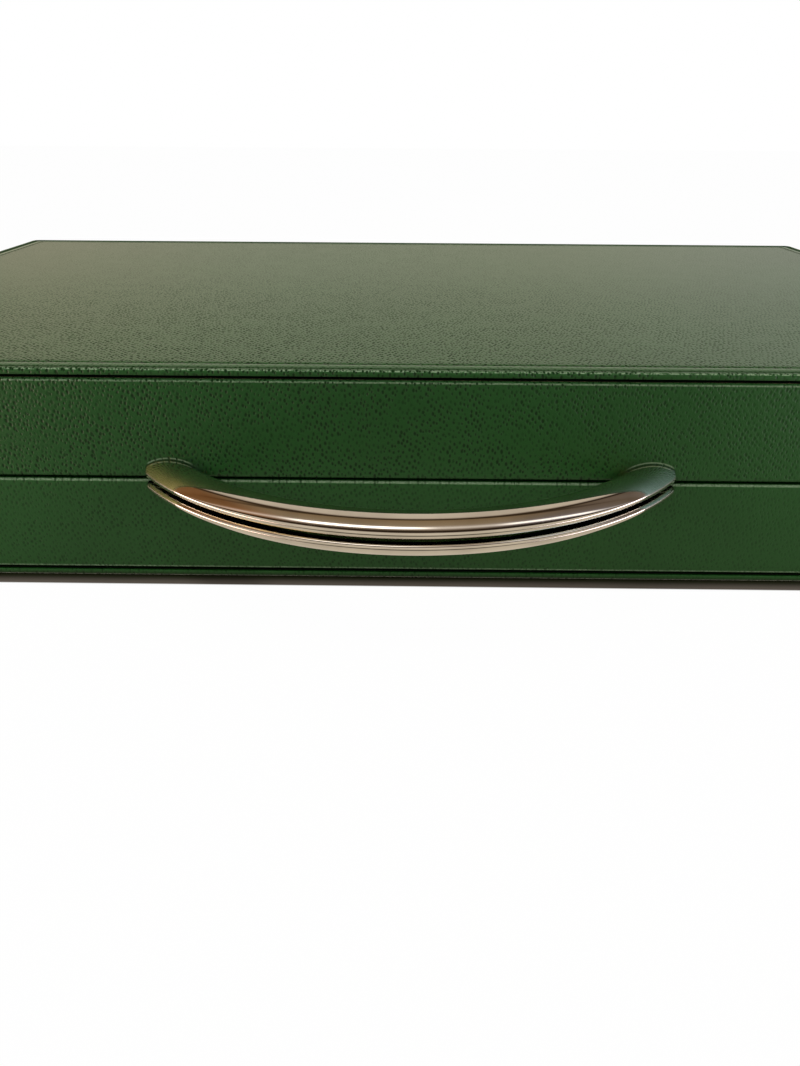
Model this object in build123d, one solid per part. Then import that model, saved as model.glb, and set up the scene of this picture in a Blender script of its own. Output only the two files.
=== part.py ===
from build123d import *
import math
import os

# A backgammon board that folds into a leather-covered case.
# Two shallow trays meet at a parting plane and turn on butt hinges along the rear walls.
# Open flat, the two rear walls lie side by side and form the bar between the playing fields.
# X runs along the case, the handle is at -Y, +Z is up, and the origin is the middle of the underside.

# Overall sizes, in millimetres
case_length = 610.0
case_depth = 385.0
tray_height = 47.0
corner_radius = 5.0
rim_gap = 0.9

# Cover panels, the large outer faces of both trays
cover_thickness = 2.8
cover_edge_radius = 1.2
cover_back_bevel = 0.5
stitch_inset = 10.0
valley_width = 1.4
valley_depth = 0.6

# Tray walls and floor
board_thickness = 12.6
floor_thickness = 5.0
reveal_height = 1.3
reveal_depth = 5.2
floor_clearance = 0.2
leather_thickness = 1.2
rim_radius = 1.6
rim_inner_bevel = 0.8
wall_foot_bevel = 0.7
lining_thickness = 1.2
lining_corner_radius = 2.0

# Playing field, its inlaid points and the racks
rack_width = 50.0
divider_thickness = 8.0
divider_drop = 3.0
divider_top_radius = 3.0
field_thickness = 3.2
pad_thickness = 2.0
panel_clearance = 0.2
points_per_side = 6
field_margin = 2.0
point_gap = 2.0
point_length = 236.0
point_tip_width = 1.6
inlay_depth = 1.0
inlay_proud = 0.1
inlay_clearance = 0.1

# Split bow handle, one half on each tray, each a flat-faced bar with a shallow dome
handle_half_span = 112.6
handle_reach = 58.5
handle_gap = 2.1
handle_dome_radius = 11.2
handle_dome_height = 8.2
handle_edge_radius = 1.8

# Screws that hold the handle from inside the front boards
handle_screw_radius = 1.5
handle_screw_head_radius = 2.5
handle_screw_head_height = 2.0
handle_screw_recess = 4.5
handle_screw_bite = 8.0
handle_screw_height = 4.6
handle_screw_inset = 3.5
screw_clearance = 0.1

# Butt hinges
hinge_count = 2
hinge_pitch = 380.0
hinge_length = 50.0
hinge_axis_offset = 0.3
leaf_reach = 11.0
leaf_clearance = 0.2
knuckle_count = 3
knuckle_radius = 2.6
knuckle_gap = 0.15
knuckle_relief = 0.3
pin_radius = 1.1
pin_clearance = 0.05
hinge_screw_count = 2
hinge_screw_pitch = 32.0
hinge_screw_setback = 6.6
hinge_screw_head_radius = 2.1
hinge_screw_radius = 1.0
hinge_screw_length = 10.0

# Closure bar magnets, hidden under the rim leather of the front walls
magnet_length = 24.0
magnet_width = 6.0
magnet_thickness = 3.0
magnet_half_pitch = 230.0
magnet_clearance = 0.1

# Levels of the lower tray, and places worked out from the sizes above
parting = tray_height
rim_level = parting - rim_gap / 2
board_top = rim_level - leather_thickness
wall_foot = cover_thickness + reveal_height
floor_top = cover_thickness + floor_thickness
field_top = floor_top + field_thickness
wall_total = leather_thickness + board_thickness + lining_thickness
inner_length = case_length - 2 * wall_total
inner_depth = case_depth - 2 * wall_total
front_face = -case_depth / 2
rear_face = case_depth / 2
inner_front = front_face + wall_total
inner_rear = rear_face - wall_total
divider_front = inner_front + rack_width
field_front = divider_front + divider_thickness
point_pitch = (inner_rear - field_front - 2 * field_margin) / points_per_side
board_front = front_face + leather_thickness
board_back = board_front + board_thickness

# The bow: its dome's centre lies beyond the mating face, and its edges are tangent to both
outer_arc_radius = (handle_half_span**2 + handle_reach**2) / (2 * handle_reach)
arc_centre_y = front_face - handle_reach + outer_arc_radius
dome_offset = handle_dome_radius - handle_dome_height
edge_centre_height = dome_offset + handle_gap / 2 + handle_edge_radius
edge_centre_reach = math.sqrt((handle_dome_radius - handle_edge_radius) ** 2 - edge_centre_height**2)
bar_half_width = edge_centre_reach + handle_edge_radius
bar_arc_radius = outer_arc_radius - bar_half_width
foot_half_pitch = math.sqrt(bar_arc_radius**2 - (arc_centre_y - front_face) ** 2)
handle_screw_x = foot_half_pitch - handle_screw_inset
handle_screw_z = parting - handle_screw_height

# The hinges
hinge_axis_y = rear_face + hinge_axis_offset
hinge_places = [(i - (hinge_count - 1) / 2) * hinge_pitch for i in range(hinge_count)]
leaf_thickness = leather_thickness
hinge_screw_y = rear_face - hinge_screw_setback

# A round bar stands on the middle of its lower end
on_its_end = (Align.CENTER, Align.CENTER, Align.MIN)
from_its_corner = (Align.MIN, Align.MIN, Align.MIN)


def slab(length, depth, radius, low, high):
    """Plate with rounded plan corners between two levels."""
    return extrude(Pos(0, 0, low) * RectangleRounded(length, depth, radius), high - low)


def block(x0, x1, y0, y1, z0, z1):
    """Plain box between two corners."""
    return Pos(x0, y0, z0) * Box(x1 - x0, y1 - y0, z1 - z0, align=from_its_corner)


def raised(outline, low, high):
    """Flat outline carried upward from one level to another."""
    return extrude(Pos(0, 0, low) * outline, high - low, dir=(0, 0, 1))


def rod_x(radius, x0, x1, y, z):
    """Round rod along X between two places."""
    return Pos(x0, y, z) * Rot(0, 90, 0) * Cylinder(radius, x1 - x0, align=on_its_end)


def rod_y(radius, y0, y1, x, z):
    """Round rod along Y between two places."""
    return Pos(x, y0, z) * Rot(-90, 0, 0) * Cylinder(radius, y1 - y0, align=on_its_end)


def rod_z(radius, z0, z1, x, y):
    """Round rod along Z between two levels."""
    return Pos(x, y, z0) * Cylinder(radius, z1 - z0, align=on_its_end)


def cover_panel():
    """Leather-covered panel with soft edges and a narrow valley for its row of stitches."""
    panel = slab(case_length, case_depth, corner_radius, 0, cover_thickness)
    panel = fillet(panel.edges().group_by(Axis.Z)[0], cover_edge_radius)
    panel = chamfer(panel.edges().group_by(Axis.Z)[-1], cover_back_bevel)
    length = case_length - 2 * stitch_inset
    depth = case_depth - 2 * stitch_inset
    half = valley_width / 2
    valley = slab(length + 2 * half, depth + 2 * half, corner_radius + half, 0, valley_depth)
    island = slab(length - 2 * half, depth - 2 * half, corner_radius - half, 0, valley_depth)
    return panel - (valley - island)


def floor_board():
    """Plywood floor that fills the rabbet of the walls and spaces the cover panel off them."""
    inset = leather_thickness + reveal_depth + floor_clearance
    half_length = case_length / 2 - inset
    half_depth = case_depth / 2 - inset
    return block(-half_length, half_length, -half_depth, half_depth, cover_thickness, floor_top)


def wall_block(low, high):
    """Outline of the wooden walls, filled in, between two levels."""
    length = case_length - 2 * leather_thickness
    depth = case_depth - 2 * leather_thickness
    return slab(length, depth, corner_radius - leather_thickness, low, high)


def wall_board(side):
    """One mitred wall board with the rabbet for the floor, for side front, rear, left or right."""
    outer_x = case_length / 2 - leather_thickness
    outer_y = case_depth / 2 - leather_thickness
    inner_x = outer_x - board_thickness
    inner_y = outer_y - board_thickness
    if side in ("front", "rear"):
        outer = outer_y if side == "rear" else -outer_y
        inner = inner_y if side == "rear" else -inner_y
        corners = [(-outer_x, outer), (outer_x, outer), (inner_x, inner), (-inner_x, inner)]
    else:
        outer = outer_x if side == "right" else -outer_x
        inner = inner_x if side == "right" else -inner_x
        corners = [(outer, -outer_y), (outer, outer_y), (inner, inner_y), (inner, -inner_y)]
    mitred = raised(Polygon(*corners, align=None), wall_foot, board_top)
    board = mitred & wall_block(wall_foot, board_top)
    rabbet_x = outer_x - reveal_depth
    rabbet_y = outer_y - reveal_depth
    return board - block(-rabbet_x, rabbet_x, -rabbet_y, rabbet_y, wall_foot, floor_top)


def front_board():
    """Front board with holes for the handle screws and pockets for the magnets."""
    board = wall_board("front")
    shank_radius = handle_screw_radius + screw_clearance
    head_radius = handle_screw_head_radius + screw_clearance
    seat = board_back - handle_screw_recess
    for x in (-handle_screw_x, handle_screw_x):
        board -= rod_y(shank_radius, board_front, seat, x, handle_screw_z)
        board -= rod_y(head_radius, seat, board_back, x, handle_screw_z)
    for x in (-magnet_half_pitch, magnet_half_pitch):
        board -= magnet(x, magnet_clearance)
    return board


def rear_board():
    """Rear board with the relief for the knuckles and holes for the hinge screws."""
    board = wall_board("rear")
    hole_radius = hinge_screw_radius + screw_clearance
    hole_floor = rim_level - hinge_screw_length - screw_clearance
    for x in hinge_places:
        board -= knuckle_relief_rod(x)
        for screw_x in hinge_screw_places(x):
            board -= rod_z(hole_radius, hole_floor, board_top, screw_x, hinge_screw_y)
    return board


def wall_leather():
    """Leather wrapped round the walls and over the rim, open where the hinges are let in."""
    skin = slab(case_length, case_depth, corner_radius, wall_foot, rim_level)
    skin = chamfer(skin.edges().group_by(Axis.Z)[0], wall_foot_bevel)
    skin = fillet(skin.edges().group_by(Axis.Z)[-1], rim_radius)
    skin -= wall_block(wall_foot, board_top)
    skin -= slab(inner_length, inner_depth, lining_corner_radius, wall_foot, rim_level)
    skin = chamfer([e for e in skin.edges().group_by(Axis.Z)[-1] if is_inner_rim(e)], rim_inner_bevel)
    for x in (-handle_screw_x, handle_screw_x):
        skin -= rod_y(handle_screw_radius + screw_clearance, front_face, board_front, x, handle_screw_z)
    for x in hinge_places:
        half = hinge_length / 2 + leaf_clearance
        leaf_front = rear_face - leaf_reach - leaf_clearance
        skin -= block(x - half, x + half, leaf_front, rear_face, board_top, rim_level)
        skin -= knuckle_relief_rod(x)
    return skin


def is_inner_rim(edge):
    """True for an edge of the rim that borders the tray's inside."""
    box = edge.bounding_box()
    near_x = max(abs(box.min.X), abs(box.max.X)) < inner_length / 2 + lining_thickness
    near_y = max(abs(box.min.Y), abs(box.max.Y)) < inner_depth / 2 + lining_thickness
    return near_x and near_y


def inner_lining():
    """Suede lining on the inner faces of the walls, from the floor board to the rim leather."""
    half_length = inner_length / 2 + lining_thickness
    half_depth = inner_depth / 2 + lining_thickness
    lining = block(-half_length, half_length, -half_depth, half_depth, floor_top, board_top)
    return lining - slab(inner_length, inner_depth, lining_corner_radius, floor_top, board_top)


def point_outline(end, row, grow):
    """Long tapering point on the field, from the end wall at end -1 or +1, in one of the rows."""
    middle = field_front + field_margin + (row + 0.5) * point_pitch
    half_base = (point_pitch - point_gap) / 2 + grow
    half_tip = point_tip_width / 2 + grow
    base_x = inner_length / 2 - panel_clearance - field_margin + grow
    tip_x = base_x - point_length - 2 * grow
    corners = [
        (end * base_x, middle - half_base), (end * base_x, middle + half_base),
        (end * tip_x, middle + half_tip), (end * tip_x, middle - half_tip),
    ]
    return Polygon(*corners, align=None)


def points(colour):
    """The inlaid points of one colour, 0 or 1, as separate pieces."""
    pieces = []
    low = field_top - inlay_depth
    high = field_top + inlay_proud
    for end in (-1, 1):
        for row in range(points_per_side):
            if (row + (end > 0)) % 2 == colour:
                pieces.append(raised(point_outline(end, row, 0), low, high))
    return pieces


def field_panel():
    """Leather-covered playing field with a pocket for each inlaid point."""
    half = inner_length / 2 - panel_clearance
    rear = inner_rear - panel_clearance
    panel = block(-half, half, field_front + panel_clearance, rear, floor_top, field_top)
    panel = round_upright_edges(panel, lining_corner_radius, rear)
    for end in (-1, 1):
        for row in range(points_per_side):
            panel -= raised(point_outline(end, row, inlay_clearance), field_top - inlay_depth, field_top)
    return panel


def round_upright_edges(panel, radius, y):
    """Rounds the panel's upright corners that stand at a given Y."""
    corners = [e for e in panel.edges().filter_by(Axis.Z) if abs(e.center().Y - y) < radius / 2]
    return fillet(corners, radius)


def rack_pad():
    """Suede pad on the floor of the rack."""
    half = inner_length / 2 - panel_clearance
    front = inner_front + panel_clearance
    pad = block(-half, half, front, divider_front - panel_clearance, floor_top, floor_top + pad_thickness)
    return round_upright_edges(pad, lining_corner_radius, front)


def rack_divider():
    """Rail between the rack and the playing field, with a rounded top."""
    half = inner_length / 2 - panel_clearance
    rail = block(-half, half, divider_front, field_front, floor_top, rim_level - divider_drop)
    top_edges = rail.edges().group_by(Axis.Z)[-1].filter_by(Axis.X)
    return fillet(top_edges, divider_top_radius)


def handle_section():
    """Section of the lower half: a dome under a flat mating face, with well rounded edges."""
    dome = Pos(0, dome_offset) * Circle(handle_dome_radius)
    above = Rectangle(2 * handle_dome_radius, 2 * handle_dome_radius, align=(Align.CENTER, Align.MIN))
    section = dome - Pos(0, -handle_gap / 2) * above
    return fillet(section.vertices(), handle_edge_radius)


def handle_half():
    """Lower half of the bow: its section turned along an arc and cut off in the plane of the wall face."""
    plane = Plane(origin=(bar_arc_radius, arc_centre_y, parting), x_dir=(1, 0, 0), z_dir=(0, -1, 0))
    axis = Axis((0, arc_centre_y, parting), (0, 0, 1))
    bow = revolve(plane * handle_section(), axis, -180)
    beyond = arc_centre_y + outer_arc_radius
    bow -= block(-outer_arc_radius, outer_arc_radius, front_face, beyond, 0, parting)
    hole_floor = front_face - handle_screw_bite - screw_clearance
    for x in (-handle_screw_x, handle_screw_x):
        bow -= rod_y(handle_screw_radius + screw_clearance, hole_floor, front_face, x, handle_screw_z)
    return bow


def handle_screws():
    """Cheese-head screws from inside the front board into the feet of the handle."""
    screws = []
    seat = board_back - handle_screw_recess
    for x in (-handle_screw_x, handle_screw_x):
        shank = rod_y(handle_screw_radius, front_face - handle_screw_bite, seat, x, handle_screw_z)
        head = rod_y(handle_screw_head_radius, seat, seat + handle_screw_head_height, x, handle_screw_z)
        screws.append(shank + head)
    return screws


def magnet(x, grow):
    """Bar magnet in the front board, flush with its top, with a clearance on all sides but that one."""
    half_length = magnet_length / 2 + grow
    half_width = magnet_width / 2 + grow
    y = board_front + board_thickness / 2
    low = board_top - magnet_thickness - grow
    return block(x - half_length, x + half_length, y - half_width, y + half_width, low, board_top)


def closure_magnets():
    """The two magnets near the ends of the front board."""
    return [magnet(x, 0) for x in (-magnet_half_pitch, magnet_half_pitch)]


def knuckle_relief_rod(x):
    """Space that the knuckles of the hinge at x need."""
    half = hinge_length / 2 + knuckle_relief
    return rod_x(knuckle_radius + knuckle_relief, x - half, x + half, hinge_axis_y, parting)


def knuckle_spans(x, owner):
    """Spans along X of the knuckles that belong to leaf 0, the lower one, or leaf 1."""
    pitch = hinge_length / knuckle_count
    start = x - hinge_length / 2
    return [(start + i * pitch, start + (i + 1) * pitch) for i in range(knuckle_count) if i % 2 == owner]


def hinge_screw_places(x):
    """X of the screws in one leaf of the hinge at x."""
    return [x + (i - (hinge_screw_count - 1) / 2) * hinge_screw_pitch for i in range(hinge_screw_count)]


def hinge_leaf(x, owner):
    """Leaf let into the rim of the lower tray, with the knuckles of its owner, leaf 0 or leaf 1."""
    start = x - hinge_length / 2
    end = x + hinge_length / 2
    leaf = block(start, end, rear_face - leaf_reach, hinge_axis_y, board_top, board_top + leaf_thickness)
    for x0, x1 in knuckle_spans(x, 1 - owner):
        leaf -= rod_x(knuckle_radius + knuckle_relief, x0, x1, hinge_axis_y, parting)
    for x0, x1 in knuckle_spans(x, owner):
        low = max(start, x0 + knuckle_gap) if x0 > start else start
        high = min(end, x1 - knuckle_gap) if x1 < end else end
        leaf += rod_x(knuckle_radius, low, high, hinge_axis_y, parting)
    leaf -= rod_x(pin_radius + pin_clearance, start, end, hinge_axis_y, parting)
    for screw_x in hinge_screw_places(x):
        leaf -= countersink(screw_x, screw_clearance)
    return leaf


def countersink(x, grow):
    """Cone of a countersunk head flush with the leaf, grown by a clearance."""
    tip_radius = hinge_screw_radius + grow
    cone = Cone(tip_radius, hinge_screw_head_radius + grow, leaf_thickness, align=on_its_end)
    return Pos(x, hinge_screw_y, board_top) * cone


def hinge_screws():
    """Countersunk screws of the lower leaves."""
    tip = rim_level - hinge_screw_length
    screws = []
    for x in hinge_places:
        for screw_x in hinge_screw_places(x):
            shank = rod_z(hinge_screw_radius, tip, board_top, screw_x, hinge_screw_y)
            screws.append(countersink(screw_x, 0) + shank)
    return screws


def hinge_pins():
    """Pins of the hinges, flush with the ends of the outer knuckles."""
    half = hinge_length / 2
    return [rod_x(pin_radius, x - half, x + half, hinge_axis_y, parting) for x in hinge_places]


def turned_over(shape):
    """The same piece for the upper tray, mirrored in the parting plane."""
    return mirror(shape, about=Plane.XY.offset(parting))


def save(node, pieces):
    """Writes one node, of one solid or of several separate ones."""
    solids = [solid for piece in pieces for solid in piece.solids()]
    export_step(solids[0] if len(solids) == 1 else Compound(solids), f"parts/{node}.step")


def save_pair(name, pieces):
    """Writes the pieces of the lower tray and their mirror images in the upper tray."""
    save(f"lower_{name}", pieces)
    save(f"upper_{name}", [turned_over(piece) for piece in pieces])


os.makedirs("parts", exist_ok=True)
save_pair("cover_panel", [cover_panel()])
save_pair("floor_board", [floor_board()])
save_pair("front_board", [front_board()])
save_pair("rear_board", [rear_board()])
save_pair("left_board", [wall_board("left")])
save_pair("right_board", [wall_board("right")])
save_pair("wall_leather", [wall_leather()])
save_pair("inner_lining", [inner_lining()])
save_pair("field_panel", [field_panel()])
save_pair("rack_pad", [rack_pad()])
save_pair("rack_divider", [rack_divider()])
save_pair("handle_half", [handle_half()])
save_pair("handle_screws", handle_screws())
save_pair("closure_magnets", closure_magnets())
save_pair("hinge_screws", hinge_screws())

# Colours alternate all round the board, so the upper tray's points swap colours
light, dark = points(0), points(1)
save("lower_light_points", light)
save("lower_dark_points", dark)
save("upper_light_points", [turned_over(piece) for piece in dark])
save("upper_dark_points", [turned_over(piece) for piece in light])

save("lower_hinge_leaves", [hinge_leaf(x, 0) for x in hinge_places])
save("upper_hinge_leaves", [turned_over(hinge_leaf(x, 1)) for x in hinge_places])
save("hinge_pins", hinge_pins())
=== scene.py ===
import logging
import math
from dataclasses import dataclass
from enum import Enum
from functools import cache, partial, reduce
from typing import Callable, Iterable, Sequence

import bmesh
import bpy
from mathutils import Matrix, Vector


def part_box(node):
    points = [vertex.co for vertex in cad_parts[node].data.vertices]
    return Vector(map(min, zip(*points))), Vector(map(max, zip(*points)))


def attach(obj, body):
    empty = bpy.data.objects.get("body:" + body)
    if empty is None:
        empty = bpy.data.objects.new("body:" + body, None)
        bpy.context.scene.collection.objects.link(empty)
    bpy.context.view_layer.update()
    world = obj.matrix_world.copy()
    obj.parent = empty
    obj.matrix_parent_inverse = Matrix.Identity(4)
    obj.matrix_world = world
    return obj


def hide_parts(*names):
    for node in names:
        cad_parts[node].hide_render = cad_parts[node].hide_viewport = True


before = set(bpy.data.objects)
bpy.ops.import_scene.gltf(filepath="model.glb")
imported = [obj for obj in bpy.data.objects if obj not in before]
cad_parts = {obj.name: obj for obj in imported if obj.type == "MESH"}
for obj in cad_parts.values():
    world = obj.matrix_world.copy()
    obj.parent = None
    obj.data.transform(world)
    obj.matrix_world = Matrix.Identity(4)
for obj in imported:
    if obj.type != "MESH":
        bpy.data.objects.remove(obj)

# A backgammon case in pebbled green leather, shut, with a split bow handle.
# The solids come from the frame. This script models their soft and fine parts again and gives all of them finishes.

MM = 0.001
PLAN = {"Half Length": 0.305, "Half Depth": 0.1925}
LEVEL = {"Half Height": 0.047}
CORNERS = ((-1, -1), (-1, 1), (1, -1), (1, 1))

# Two places closer than this are one, and a direction whose upright share is larger than this is upright
TOUCH = 0.001 * MM
UPRIGHT = 0.9

Triple = tuple[float, float, float]
Colour = Triple
Piece = bpy.types.Object
Socket = bpy.types.NodeSocket
Inputs = dict[str | int, object]
log = logging.getLogger("case")
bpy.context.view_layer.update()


class Side(Enum):
    """The two trays of the case, and the body that each one rides."""

    LOWER = "base"
    UPPER = "lid"

    @property
    def prefix(self) -> str:
        """Start of the names of the pieces on this side."""
        return self.name.lower()

    def node(self, part: str) -> str:
        """Full name of one of this side's CAD nodes."""
        return f"{self.prefix}_{part}"


class Bench:
    """The modelling bench: selects, shapes and settles one piece at a time."""

    @staticmethod
    def clear() -> None:
        """Deselects every object, the CAD nodes among them."""
        if bpy.context.mode != "OBJECT":
            bpy.ops.object.mode_set(mode="OBJECT")
        bpy.ops.object.select_all(action="DESELECT")

    @staticmethod
    def take(*pieces: Piece) -> None:
        """Selects these pieces alone and makes the first one active."""
        Bench.clear()
        for piece in pieces:
            piece.select_set(True)
        bpy.context.view_layer.objects.active = pieces[0]

    @staticmethod
    def named(name: str) -> Piece:
        """Names the object that the last operator added.

        Args:
            name: Its new name, and its mesh's.

        Returns:
            The object.
        """
        piece = bpy.context.active_object
        piece.name = name
        piece.data.name = name
        return piece

    @staticmethod
    def edit(piece: Piece) -> None:
        """Opens a piece in edit mode, ready to select corners, with nothing selected.

        Args:
            piece: The piece.
        """
        Bench.take(piece)
        bpy.ops.object.mode_set(mode="EDIT")
        bpy.ops.mesh.select_mode(type="VERT")
        bpy.ops.mesh.select_all(action="DESELECT")

    @staticmethod
    def settle(piece: Piece) -> None:
        """Leaves edit mode and puts the piece's place into its mesh, so that its object sits at the origin."""
        Bench.take(piece)
        bpy.ops.object.transform_apply(location=True, rotation=True, scale=True)

    @staticmethod
    def pick(piece: Piece, kind: str, test: Callable[[Vector, Vector], bool]) -> None:
        """Selects parts of the piece that is open in edit mode, and nothing else.

        Args:
            piece: The piece that is open.
            kind: "VERT", "EDGE" or "FACE".
            test: Takes a part's middle and its direction: an edge's direction, or a face's or corner's normal.
        """
        bpy.ops.mesh.select_mode(type=kind)
        bpy.ops.mesh.select_all(action="DESELECT")
        mesh = bmesh.from_edit_mesh(piece.data)
        for part in {"VERT": mesh.verts, "EDGE": mesh.edges, "FACE": mesh.faces}[kind]:
            if kind == "VERT":
                middle, direction = part.co, part.normal
            elif kind == "EDGE":
                a, b = part.verts[0].co, part.verts[1].co
                middle, direction = (a + b) / 2, (b - a).normalized()
            else:
                middle, direction = part.calc_center_median(), part.normal
            if test(middle, direction):
                part.select_set(True)
        mesh.select_flush_mode()
        bmesh.update_edit_mesh(piece.data)

    @staticmethod
    def whole() -> None:
        """Selects all of the piece that is open in edit mode."""
        bpy.ops.mesh.select_all(action="SELECT")

    @staticmethod
    def remove(piece: Piece) -> None:
        """Deletes a piece that is no longer needed."""
        Bench.take(piece)
        bpy.ops.object.delete()

    @staticmethod
    def box(name: str, low: Vector, high: Vector) -> Piece:
        """Adds a box between two corners, its place already in its mesh.

        Args:
            name: Name of the new piece.
            low: Lowest corner, in metres.
            high: Highest corner, in metres.

        Returns:
            The new piece.
        """
        Bench.clear()
        bpy.ops.mesh.primitive_cube_add(size=1, location=(low + high) / 2)
        piece = Bench.named(name)
        piece.scale = high - low
        Bench.settle(piece)
        return piece

    @staticmethod
    def modifier(piece: Piece, kind: str, **settings: object) -> None:
        """Adds a modifier and applies it.

        Args:
            piece: The piece that it changes.
            kind: Blender's name for the modifier.
            settings: The modifier's own properties.
        """
        Bench.take(piece)
        modifier = piece.modifiers.new(kind.title(), kind)
        for key, value in settings.items():
            setattr(modifier, key, value)
        bpy.ops.object.modifier_apply(modifier=modifier.name)

    @staticmethod
    def copy(piece: Piece, name: str, move: Vector = Vector((0, 0, 0))) -> Piece:
        """Copies a piece with its own mesh, moved by a distance.

        Args:
            piece: The piece to copy.
            name: Name of the copy.
            move: How far the copy is moved, in metres.

        Returns:
            The copy, at the origin.
        """
        Bench.take(piece)
        bpy.ops.object.duplicate()
        twin = Bench.named(name)
        twin.location = move
        Bench.settle(twin)
        return twin

    @staticmethod
    def turned_over(piece: Piece, name: str, level: float) -> Piece:
        """Copies a piece as its mirror image in a level plane, with its faces pointing outwards.

        Args:
            piece: The piece to copy.
            name: Name of the copy.
            level: Height of the plane, in metres.

        Returns:
            The copy.
        """
        twin = Bench.copy(piece, name)
        Bench.edit(twin)
        Bench.whole()
        bpy.ops.transform.resize(value=(1, 1, -1), center_override=(0, 0, level))
        bpy.ops.mesh.normals_make_consistent(inside=False)
        Bench.clear()
        return twin

    @staticmethod
    def joined(pieces: Sequence[Piece], name: str) -> Piece:
        """Joins pieces into one object of that name."""
        Bench.take(*pieces)
        bpy.ops.object.join()
        return Bench.named(name)

    @staticmethod
    def smooth(piece: Piece, degrees: float) -> None:
        """Shades the piece smooth, apart from edges sharper than an angle."""
        Bench.take(piece)
        bpy.ops.object.shade_smooth_by_angle(angle=math.radians(degrees))


class Wiring:
    """A node tree with short ways to add nodes, set them and link them."""

    def __init__(self, tree: bpy.types.NodeTree) -> None:
        """Takes over a node tree and empties it."""
        self.tree = tree
        tree.nodes.clear()

    def add(self, kind: str, inputs: Inputs | None = None, **settings: object) -> bpy.types.Node:
        """Adds a node.

        Args:
            kind: The node's type name without ShaderNode in front.
            inputs: Values or output sockets for its inputs, by name or number.
            settings: The node's own properties.

        Returns:
            The new node.
        """
        node = self.tree.nodes.new(kind if kind.startswith("NodeGroup") else f"ShaderNode{kind}")
        for key, value in settings.items():
            setattr(node, key, value)
        for key, value in (inputs or {}).items():
            if isinstance(value, Socket):
                self.tree.links.new(value, node.inputs[key])
            else:
                node.inputs[key].default_value = value
        return node

    def math(self, operation: str, *terms: object) -> Socket:
        """Works out a number from one to three numbers or sockets."""
        return self.add("Math", dict(enumerate(terms)), operation=operation).outputs[0]

    def times(self, *factors: object) -> Socket:
        """Multiplies two or more numbers or sockets."""
        return reduce(partial(self.math, "MULTIPLY"), factors)

    def plus(self, *terms: object) -> Socket:
        """Adds two or more numbers or sockets."""
        return reduce(partial(self.math, "ADD"), terms)

    def minus(self, a: object, b: object) -> Socket:
        """Takes b from a."""
        return self.math("SUBTRACT", a, b)

    def apart(self, a: object, b: object) -> Socket:
        """Works out how far two numbers are apart."""
        return self.math("ABSOLUTE", self.minus(a, b))

    def within(self, value: object, half: object) -> Socket:
        """Works out how far a number lies inside the range from minus half to half."""
        return self.minus(half, self.math("ABSOLUTE", value))

    def split(self, vector: Socket) -> Sequence[Socket]:
        """Takes a vector apart into its three numbers."""
        return self.add("SeparateXYZ", {0: vector}).outputs

    def length(self, x: object, y: object) -> Socket:
        """Works out the length of a flat vector."""
        flat = self.add("CombineXYZ", {0: x, 1: y}).outputs[0]
        return self.add("VectorMath", {0: flat}, operation="LENGTH").outputs["Value"]

    def step(self, value: object, low: float, high: float, start: float = 0.0, end: float = 1.0) -> Socket:
        """Eases from start to end while a value goes from low to high."""
        limits = {"Value": value, "From Min": low, "From Max": high, "To Min": start, "To Max": end}
        return self.add("MapRange", limits, interpolation_type="SMOOTHSTEP").outputs["Result"]

    def window(self, value: object, low: float, full: float, fade: float, high: float) -> Socket:
        """Eases from 0 to 1 between low and full, and back to 0 between fade and high."""
        return self.times(self.step(value, low, full), self.step(value, high, fade))

    def mix(self, factor: object, a: object, b: object, blend: str = "MIX") -> Socket:
        """Mixes two colours.

        Args:
            factor: How much of the second colour shows.
            a: The first colour, or its socket.
            b: The second colour, or its socket.
            blend: Blender's name for the way of mixing.

        Returns:
            The mixed colour.
        """
        colours = {slot: c if isinstance(c, Socket) else (*c, 1.0) for slot, c in ((6, a), (7, b))}
        return self.add("Mix", {"Factor": factor, **colours}, data_type="RGBA", blend_type=blend).outputs[2]

    def noise(self, vector: Socket, scale: object, detail: float, roughness: float = 0.5) -> Socket:
        """Adds a noise texture and returns its factor."""
        values = {"Vector": vector, "Scale": scale, "Detail": detail, "Roughness": roughness}
        return self.add("TexNoise", values).outputs[0]

    def effect(self, group: bpy.types.NodeTree, **inputs: object) -> dict[str, Socket]:
        """Places a shared effect with these inputs, and returns its outputs by name."""
        return self.add("Group", inputs, node_tree=group).outputs

    def bump(self, height: Socket, strength: float, distance: float) -> Socket:
        """Turns a height into a bumped normal."""
        return self.add("Bump", {"Height": height, "Strength": strength, "Distance": distance}).outputs[0]


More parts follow.
